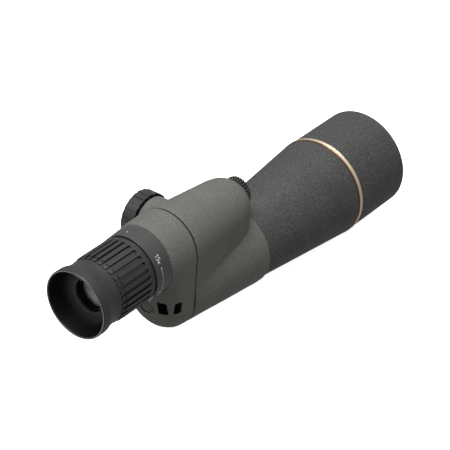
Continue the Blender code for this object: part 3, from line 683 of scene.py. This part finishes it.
LOOKS = {
    "green_armour": green_armour(),
    "grey_texture": grey_texture(),
    "black_rubber": black_rubber(),
    "black_satin": black_satin(),
    "gold": gold(),
    "glass": glass("coated_glass", (0.78, 0.84, 0.86), (0.86, 0.88, 0.90)),
    "prism_glass": glass("prism_glass", (0.80, 0.88, 0.87), (0.86, 0.92, 0.91)),
    "black_aluminium": metal("black_anodised", (0.020, 0.020, 0.021), (0.032, 0.032, 0.033), 0.34, 0.5, 0.7),
    "steel": metal("turned_steel", (0.42, 0.42, 0.43), (0.56, 0.56, 0.57), 0.24, 0.4),
    "brass": metal("turned_brass", (0.56, 0.40, 0.17), (0.72, 0.53, 0.25), 0.26, 0.42),
}
PRINT = white_mark()
# Eye lens glass with a painted reflection.
PAINTED_REFLECTION_LENS = painted_reflection_lens()
DARK_METAL = metal("dull_black_ring", (0.004, 0.004, 0.004), (0.009, 0.009, 0.009), 0.2, 0.3, 0.3)
# Near-black painted shade for hollows and gaps.
PAINTED_SHADE = painted_shade_look()


# ---------------------------------------------------------------- eyepiece
def eyecup():
    """Soft cup with a flared lip outside, and inside a bowl down to the eye lens."""
    back, front = ends("eyecup")
    outline = [
        (back, 20.75, 0.2), (back, 21.55, 0.3), (0.5, 21.8, 0.4), (6.0, 21.75, 0.9), (9.0, 20.75, 1.6),
        (13.6, 20.1, 2), (front, 20.3, 0.2), (front, 15.6, 0.2), (13.9, 15.5, 0.2), (13.9, 10.6, 0.2),
        (11.9, EYE_OPENING_R, 0.4), (11.75, 11.3, 0.3), (12.15, 11.8, 0.4), (12.5, 15.8, 1.2),
        (11.0, 17.5, 1.0), (2.2, 19.6, 1.5), (0.7, 20.3, 0.4),
    ]
    cup = add("eyecup_rubber", lathe(outline, 192, EYE), "housing", "black_rubber", ["eyecup"],
              LOOKS["black_rubber"], 50)

    def bowl(x, y, z):
        radius = np.hypot(y, z - EYE)
        return (x > 0.6) & (x < 13.5) & (radius > 10.9) & (radius < 20.6 - 0.1 * x)

    # Painted shade: the inside of the cup gets the near-black shade colour; its rubber is the same as
    # outside.
    paint_shade_on(cup, bowl)


def retainer():
    """Ring round the eye lens, with five fine light-trap grooves in its bore."""
    bore, groove, outside = 9.6, 10.15, 12.85
    outline = [(17.3, outside, 0.1), (17.3, bore, 0.1)]
    for i in range(5):
        x = 17.0 - i * 0.54
        outline += [(x, bore, 0.05), (x - 0.12, groove, 0.05), (x - 0.38, groove, 0.05),
                    (x - 0.5, bore, 0.05)]
    outline += [(14.35, 9.9, 0.15), (14.3, outside, 0.1)]
    add("eye_lens_ring", lathe(outline, 128, EYE), "housing", "black_aluminium", ["eye_lens_retainer"],
        DARK_METAL, 30)


def zoom_grip():
    """Rubber sleeve with long grooves, open at the back and round at the front."""
    back, front = ends("zoom_ring")
    bead, end_band, bore = 21.2, 20.5, 18.0
    across = np.array([0, 0.45, 0.80, 0.96, 1.04, 1.12, 1.22, 1.65]) / bead
    across = np.concatenate([-across[:0:-1], across])
    pitch = 2 * math.pi / GROOVES
    angles = [GROOVE_START + i * pitch + np.append(across, pitch / 2) for i in range(GROOVES)]
    rows = [
        (back, bore), (back, end_band), (17.55, 20.55), (20.3, end_band), (20.48, end_band),
        (20.52, 20.56), (20.56, 21.04), (20.62, GRIP_R), (20.8, GRIP_R),
    ]
    rows += [(x, GRIP_R) for x in np.arange(21.2, 39, 1.7)]
    rows += [(x, GRIP_R) for x in np.arange(39.4, 42.0, 0.18)]
    rows += [(43.3, bead), (44.0, 21.15), (44.45, 20.98), (44.65, 20.7), (front, 20.3), (front, bore)]

    def grooved(x, radius, turn):
        from_middle = ((turn - GROOVE_START + pitch / 2) % pitch - pitch / 2) * bead
        edge = GROOVE_HALF - np.hypot(np.maximum(x - GROOVE_STOP, 0), from_middle)
        depth = ease(0, 1, edge / 0.16 + 0.5) * (radius - GRIP_FLOOR_R)
        crown = 0.10 * np.clip(np.abs(from_middle) / 2.2, 0, 1) ** 2
        return np.where(radius > 20.3, radius - depth - crown * (x > 20.6) * (x < 42.3), radius)

    def groove_foot(x, y, z):
        radius = np.hypot(y, z - EYE)
        return (radius < 20.3) & (radius > GRIP_FLOOR_R + 0.1) & (x > 17.5) & (x < 43.5)

    sleeve = revolve(rows, np.concatenate(angles), centre=(0, EYE), shape=grooved)
    piece = add("zoom_grip", sleeve, "zoom", "black_rubber", ["zoom_ring"], LOOKS["black_rubber"], 25)
    # Painted shade in the deepest part of each groove.
    paint_shade_on(piece, groove_foot)


def scale():
    """Fixed ring that carries the zoom numbers, and the seal that shows in the gap behind it."""
    back, front = ends("scale_ring")
    bore, foot_bore = 18.2, 15.7
    ring = [
        (back, bore, 0.1), (back, 21.5, 0.08), (SCALE_X, SCALE_R, 0.1), (front, 22.15, 0.2),
        (front, foot_bore, 0.1), (56.9, foot_bore, 0.1), (56.9, bore, 0.1),
    ]
    add("zoom_scale", lathe(ring, 192, EYE), "housing", "black_satin", ["scale_ring"], LOOKS["black_satin"])
    seal = [(44.95, bore, 0.1), (44.95, 20.45, 0.2), (45.75, 20.45, 0.2), (45.75, bore, 0.1)]
    add("zoom_gap_seal", lathe(seal, 128, EYE), "housing", "black_rubber", ["zoom_seal"],
        LOOKS["black_rubber"])


# Pen strokes of the characters, (right, up) in a cell one unit high.
GLYPHS = {
    "0": [[(0.1, 0.2), (0.1, 0.8), (0.25, 1), (0.45, 1), (0.6, 0.8), (0.6, 0.2), (0.45, 0), (0.25, 0),
           (0.1, 0.2)]],
    "1": [[(0.15, 0.78), (0.38, 1), (0.38, 0)]],
    "2": [[(0.08, 0.8), (0.22, 1), (0.48, 1), (0.6, 0.82), (0.58, 0.6), (0.08, 0), (0.62, 0)]],
    "3": [[(0.08, 0.88), (0.25, 1), (0.48, 1), (0.6, 0.8), (0.5, 0.56), (0.3, 0.53)],
          [(0.5, 0.53), (0.62, 0.28), (0.5, 0.02), (0.22, 0), (0.06, 0.14)]],
    "5": [[(0.58, 1), (0.14, 1), (0.1, 0.56), (0.4, 0.6), (0.6, 0.42), (0.58, 0.14), (0.4, 0), (0.06, 0.06)]],
    "x": [[(0.08, 0), (0.56, 0.62)], [(0.08, 0.62), (0.56, 0)]],
}


def pen_line(points, width, corner, size):
    """Flat quads along a character's stroke, from the character's lower left corner."""
    points = np.array(points, float) * size
    quads = []
    for a, b in zip(points, points[1:]):
        along = (b - a) / np.linalg.norm(b - a)
        side = np.array([-along[1], along[0]]) * width / 2
        reach = along * width * 0.35
        outline = (a - reach - side, b + reach - side, b + reach + side, a - reach + side)
        quads.append([point + corner for point in outline])
    return quads


def round_the_ring(degrees):
    """Millimetres round the scale ring from its top."""
    return np.radians(degrees) * PRINT_R


def number(text, degrees):
    """Characters centred on an angle of the ring."""
    size, foot, width = 2.6, 49.4, 0.32
    advance = 0.78 * size
    start = round_the_ring(degrees) - advance * len(text) / 2
    flat = []
    for i, letter in enumerate(text):
        for line in GLYPHS[letter]:
            flat += pen_line(line, width, np.array([start + i * advance, foot]), size)
    return flat


def dot(degrees, x, radius=0.42):
    middle = np.array([round_the_ring(degrees), x])
    rim = [middle + radius * np.array([math.cos(a), math.sin(a)]) for a in np.arange(12) * math.pi / 6]
    return [[middle, rim[i], rim[(i + 1) % 12]] for i in range(12)]


def bar(first, last, x, width=0.22):
    """Line round the ring, in steps of about 1.5 degrees."""
    cuts = round_the_ring(np.linspace(first, last, int((last - first) / 1.5)))
    low, high = x - width / 2, x + width / 2
    return [[(a, low), (b, low), (b, high), (a, high)] for a, b in zip(cuts, cuts[1:])]


def on_the_ring(flat):
    """Thin plates sunk into the scale ring, from outlines of (way round, x)."""
    verts, faces = [], []
    for outline in flat:
        base, n = len(verts), len(outline)
        for lift in (0.06, -0.12):
            for way, x in outline:
                radius = SCALE_R + (x - SCALE_X) * SCALE_SLOPE + lift
                turn = way / PRINT_R
                verts.append((x, -radius * math.sin(turn), EYE + radius * math.cos(turn)))
        faces.append([base + i for i in range(n)])
        faces.append([base + n + i for i in reversed(range(n))])
        for i in range(n):
            j = (i + 1) % n
            faces.append([base + i, base + j, base + n + j, base + n + i])
    return verts, faces


def marks():
    """White print: an index dot, four zoom numbers, and two dots joined by a line after each but the last."""
    line_x = 50.6
    flat = dot(-12, line_x, 0.45)
    for i, text in enumerate(("15x", "20x", "25x", "30x")):
        middle = FIRST_NUMBER + i * NUMBER_STEP
        flat += number(text, middle)
        if i < 3:
            flat += dot(middle + 15, line_x) + dot(middle + 51, line_x)
            flat += bar(middle + 15, middle + 51, line_x)
    add("zoom_scale_marks", on_the_ring(flat), "housing", "black_satin", [], PRINT, 30)


# ---------------------------------------------------------------- housing
def cover():
    shell = polygonise(cover_field, (58, -24, -21.5), (80.5, 24, 58), 0.5)
    piece = add("rear_cover_armour", shell, "housing", "green_armour", ["rear_cover"],
                LOOKS["green_armour"], 60)
    # Painted shade on the inner walls of the strap windows.
    paint_shade_on(piece, lambda x, y, z: (strap_windows(x, y, z) < 0.35) & (pear(x, y, z, 0) < -0.8))
    tidy_solid(piece)


def main_body():
    shell = polygonise(housing_field, (80.3, -27, -27), (146.4, 34.8, 57.6), 0.6)
    piece = add("main_housing_armour", shell, "housing", "green_armour", ["main_housing"],
                LOOKS["green_armour"], 60)
    tidy_solid(piece)


def gasket():
    """Thin seam of black rubber between the cover and the main housing, drawn near black with painted shade
    for the shade in the joint.
    """
    shell = polygonise(seam_field, (79.6, -24, -21.5), (81, 24, 58), 0.35)
    # The seam takes the near-black painted-shade colour.
    piece = add("cover_seam", shell, "housing", "black_rubber", ["cover_gasket"], PAINTED_SHADE)
    tidy_solid(piece)


def badge():
    """Blank oval with a raised rim, a groove inside it darkened with painted shade, and a low dome."""
    dome, dome_foot, sides = 0.76, 0.3, 72
    rings = [(1.0, 0.0), (1.0, 0.55), (0.98, 0.72), (0.95, 0.78), (0.87, 0.78), (0.84, 0.6),
             (0.82, dome_foot), (dome, dome_foot)]   # share of the width, and height
    rings += [(s, dome_foot + 0.36 * (1 - (s / dome) ** 2)) for s in np.linspace(0.7, 0.08, 8)]
    verts, faces = [], []
    for share, height in rings:
        for angle in np.arange(sides) * 2 * math.pi / sides:
            side = BADGE_HALF * share * math.cos(angle)
            up = BADGE_HALF * BADGE_SHAPE * share * math.sin(angle)
            out = 0.85 - height
            verts.append((BADGE[0] + out * math.cos(TILT) + up * math.sin(TILT), side,
                          BADGE[2] - out * math.sin(TILT) + up * math.cos(TILT)))
    for i in range(len(rings) - 1):
        for k in range(sides):
            m = (k + 1) % sides
            faces.append((i * sides + k, i * sides + m, (i + 1) * sides + m, (i + 1) * sides + k))
    faces.append(range(sides))
    faces.append(range((len(rings) - 1) * sides, len(rings) * sides))
    piece = add("rear_badge", (verts, faces), "housing", "green_armour", ["badge"], LOOKS["green_armour"])
    # Painted shade in the groove inside the rim.
    groove = [5 <= face.index // sides < 7 for face in piece.data.polygons]
    piece.data.materials.append(PAINTED_SHADE)
    piece.data.polygons.foreach_set("material_index", [int(g) for g in groove])


def knob():
    """Coarse focus knob: shallow slanted teeth, a stepped outer face and a plain cap."""
    back, front = ends("focus_knob", 1)
    bore, recess, boss = 1.85, 12.3, 13.1
    outline = [
        (back, boss), (back, 15.5), (back + 0.3, 15.6), (back + 0.35, 16.8), (back + 0.5, KNOB_R),
        *((y, KNOB_R) for y in np.linspace(back + 0.9, front - 1.0, 8)),
        (front - 0.6, 16.95), (front - 0.3, 16.7), (front - 0.1, 16.3), (front - 0.02, 15.6),
        (front - 0.05, 12.8), (front - 0.5, 12.35), (front - 2.6, recess), (front - 2.6, bore),
        (back + 2.5, bore), (back + 2.5, boss),
    ]
    pitch = 2 * math.pi / KNOB_TEETH
    rise = 0.09                             # share of a tooth that is its steep side
    offsets = np.array([0, 0.02, 0.05, rise, 0.2, 0.32, 0.44, 0.56, 0.68, 0.8, 0.9, 0.97]) * pitch
    angles = np.concatenate([i * pitch + offsets for i in range(KNOB_TEETH)])

    def toothed(y, radius, turn):
        share = (turn % pitch) / pitch
        slope = KNOB_TOOTH * (np.maximum(share - rise, 0) / (1 - rise)) ** 1.5
        tooth = np.where(share < rise, ease(KNOB_TOOTH, 0, share / rise), slope)
        return radius - tooth * np.clip((radius - 16.0) / 0.8, 0, 1)

    shell = revolve(outline, angles, along="y", centre=KNOB, shape=toothed)
    piece = add("coarse_focus_knob", shell, "focus_knob_group", "black_rubber", ["focus_knob"],
                LOOKS["black_rubber"], 35)
    # Painted shade on the back of the knob, where it faces the housing.
    paint_shade_on(piece, lambda x, y, z: y < back + 0.34)
    face, low_face = front - 0.02, front - 0.3
    cap = [(front - 1.0, 0), (front - 1.0, 11.95), (front - 0.25, 11.95), (face, 11.7), (face, 10.6),
           (low_face, 10.3), (low_face, 9.9), (face, 9.6), (face, 0)]
    add("coarse_focus_cap", revolve(cap, 96, along="y", centre=KNOB), "focus_knob_group", "black_satin",
        ["focus_knob_cap"], LOOKS["black_satin"], 35)


def wheel():
    """Fine focus wheel with rounded teeth."""
    back, front = ends("fine_wheel")
    bore = 2.35
    outline = [
        (back, bore), (back, 8.6), (back + 0.05, 9.3), (back + 0.2, 9.65), (back + 0.5, WHEEL_R),
        *((x, WHEEL_R) for x in np.linspace(back + 1.1, front - 1.0, 5)),
        (front - 0.5, 9.75), (front - 0.15, 9.45), (front, 9.0), (front, 6.2), (front - 0.3, 5.9),
        (front - 1.0, 5.8), (front - 1.0, bore),
    ]

    def toothed(x, radius, turn):
        wave = 0.5 - 0.5 * np.cos(turn * WHEEL_TEETH)
        return radius - WHEEL_TOOTH * wave ** 2 * np.clip((radius - 8.4) / 1.2, 0, 1)

    shell = revolve(outline, WHEEL_TEETH * 14, centre=(0, WHEEL), shape=toothed)
    add("fine_focus_wheel", shell, "fine_focus", "black_rubber", ["fine_wheel"], LOOKS["black_rubber"])


# ---------------------------------------------------------------- objective
def barrel():
    """Flaring tube, stepped down at the front for the gold band and the hood."""
    back, front = ends("objective_tube")
    shoulder, step, spigot, bore = 146.3, 229.15, 31.7, 29.9
    outline = [
        (back, 22.45, 0.2), (shoulder, 22.45, 0.1), (shoulder, 25.0, 0.4), (225.6, 33.0, 6),
        (step, TUBE_R, 0.3), (step, spigot, 0.1), (front - 0.05, spigot, 0.1), (front - 0.05, bore, 0.1),
        (226, bore, 1), (150, 21.0, 1), (back, 20.4, 0.2),
    ]
    add("objective_barrel", lathe(outline, 192), "housing", "grey_texture", ["objective_tube"],
        LOOKS["grey_texture"], 35)


def band():
    """Gold ring with fine turned ridges."""
    back, front = ends("gold_ring")
    bore, valley = 32.05, RIDGE_R - 0.07
    outline = [(back, bore, 0.05), (back, BAND_R, 0.1), (back + 0.45, 33.2, 0.1)]
    for x in np.arange(back + 0.55, front - 0.7, 0.42):
        outline += [(x, RIDGE_R, 0.03), (x + 0.10, RIDGE_R, 0.03), (x + 0.16, valley, 0.03),
                    (x + 0.24, valley, 0.03)]
    outline += [(front - 0.45, 33.2, 0.1), (front, BAND_R, 0.1), (front, bore, 0.05)]
    add("gold_band", lathe(outline, 192), "housing", "gold", ["gold_ring"], LOOKS["gold"], 25)


def hood():
    """Straight hood with a step inside, behind which the objective cell sits."""
    back, front = ends("objective_hood")
    bore, step = 31.45, 257.5
    outline = [
        (back, 32.15, 0.1), (back, TUBE_R, 0.25), (front - 0.25, TUBE_R, 0.35), (front, 32.75, 0.3),
        (front, 31.5, 0.35), (step, 30.65, 0.3), (step - 0.1, bore, 0.1), (241.0, bore, 0.1),
        (241.0, 32.15, 0.1),
    ]
    add("objective_hood_shell", lathe(outline, 192), "housing", "grey_texture", ["objective_hood"],
        LOOKS["grey_texture"], 35)


# ---------------------------------------------------------------- CAD nodes that stay
KEPT = {
    "glass": ("crown_lens", "flint_lens", "focus_lens", "field_lens", "eye_lens", "front_zoom_lens",
              "rear_zoom_lens"),
    "prism_glass": ("objective_prism", "relay_prism", "eyepiece_prism"),
    "brass": ("tripod_insert", "focus_pinion", "focus_bushing", "fine_bushing", "focus_nut"),
    "steel": ("focus_shaft", "focus_knob_screw", "fine_screw", "zoom_drive_key", "front_zoom_pin",
              "rear_zoom_pin", "left_guide_rod", "right_guide_rod", "upper_prism_clip",
              "lower_prism_clip", "bracket_screw_1", "bracket_screw_2", "bracket_screw_3"),
    "black_rubber": ("focus_seal", "objective_seal"),
}


def keep(slot, nodes):
    """Shows CAD nodes as they are, in a slot's material."""
    for name in nodes:
        body = frame["nodes"][name]
        body.data.materials.clear()
        body.data.materials.append(LOOKS[slot])
        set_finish(body, slot)


def cad_nodes():
    """Every CAD node that no piece replaces; the ones not listed are black metal."""
    for slot, nodes in KEPT.items():
        keep(slot, nodes)
    # The eye lens gets the glass with the painted reflection.
    frame["nodes"]["eye_lens"].data.materials[0] = PAINTED_REFLECTION_LENS
    rest = [n for n, o in frame["nodes"].items() if not o.hide_render and "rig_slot" not in o]
    keep("black_aluminium", rest)


# ---------------------------------------------------------------- stage
def ground():
    """Wide glowing floor for the camera and the lenses, kept out of the object's light and reflections."""
    half = 4
    corners = [(-half, -half, FLOOR), (half, -half, FLOOR), (half, half, FLOOR), (-half, half, FLOOR)]
    mesh = bpy.data.meshes.new("floor")
    mesh.from_pydata(corners, [], [(0, 1, 2, 3)])
    mesh.materials.append(pale_floor())
    floor = bpy.data.objects.new("floor", mesh)
    bpy.context.scene.collection.objects.link(floor)
    floor.visible_diffuse = False
    floor.visible_glossy = False


def sky():
    """White surroundings, brighter from above."""
    world = bpy.data.worlds.new("studio")
    world.use_nodes = True
    tree = world.node_tree
    place = tree.nodes.new("ShaderNodeTexCoord")
    split = tree.nodes.new("ShaderNodeSeparateXYZ")
    rise = tree.nodes.new("ShaderNodeMapRange")
    rise.inputs["To Min"].default_value, rise.inputs["To Max"].default_value = SKY
    tree.links.new(place.outputs["Generated"], split.inputs["Vector"])
    tree.links.new(split.outputs["Z"], rise.inputs["Value"])
    tree.links.new(rise.outputs["Result"], tree.nodes["Background"].inputs["Strength"])
    tree.nodes["Background"].inputs["Color"].default_value = (1, 1, 1, 1)
    bpy.context.scene.world = world


def put_on_stage(name, data, place, direction):
    """A lamp or camera that looks along a direction."""
    made = bpy.data.objects.new(name, data)
    made.location = place
    made.rotation_mode = "QUATERNION"
    made.rotation_quaternion = direction.to_track_quat("-Z", "Y")
    bpy.context.scene.collection.objects.link(made)
    return made


def lamps():
    for name, place, aim, size, power in LIGHTS:
        data = bpy.data.lights.new(name, "AREA")
        data.energy = power
        data.size = size
        put_on_stage(name, data, place, Vector(aim) - Vector(place))


def camera():
    data = bpy.data.cameras.new("camera")
    data.lens = CAMERA_LENS
    data.sensor_width = 36
    data.clip_start, data.clip_end = 0.05, 20
    level = math.cos(CAMERA_RISE)
    direction = (math.cos(CAMERA_TURN) * level, math.sin(CAMERA_TURN) * level, -math.sin(CAMERA_RISE))
    bpy.context.scene.camera = put_on_stage("camera", data, CAMERA_PLACE, Vector(direction))
    bpy.context.scene.view_settings.view_transform = "Standard"


eyecup()
retainer()
zoom_grip()
scale()
marks()
cover()
main_body()
gasket()
badge()
knob()
wheel()
barrel()
band()
hood()
cad_nodes()
ground()
sky()
lamps()
camera()
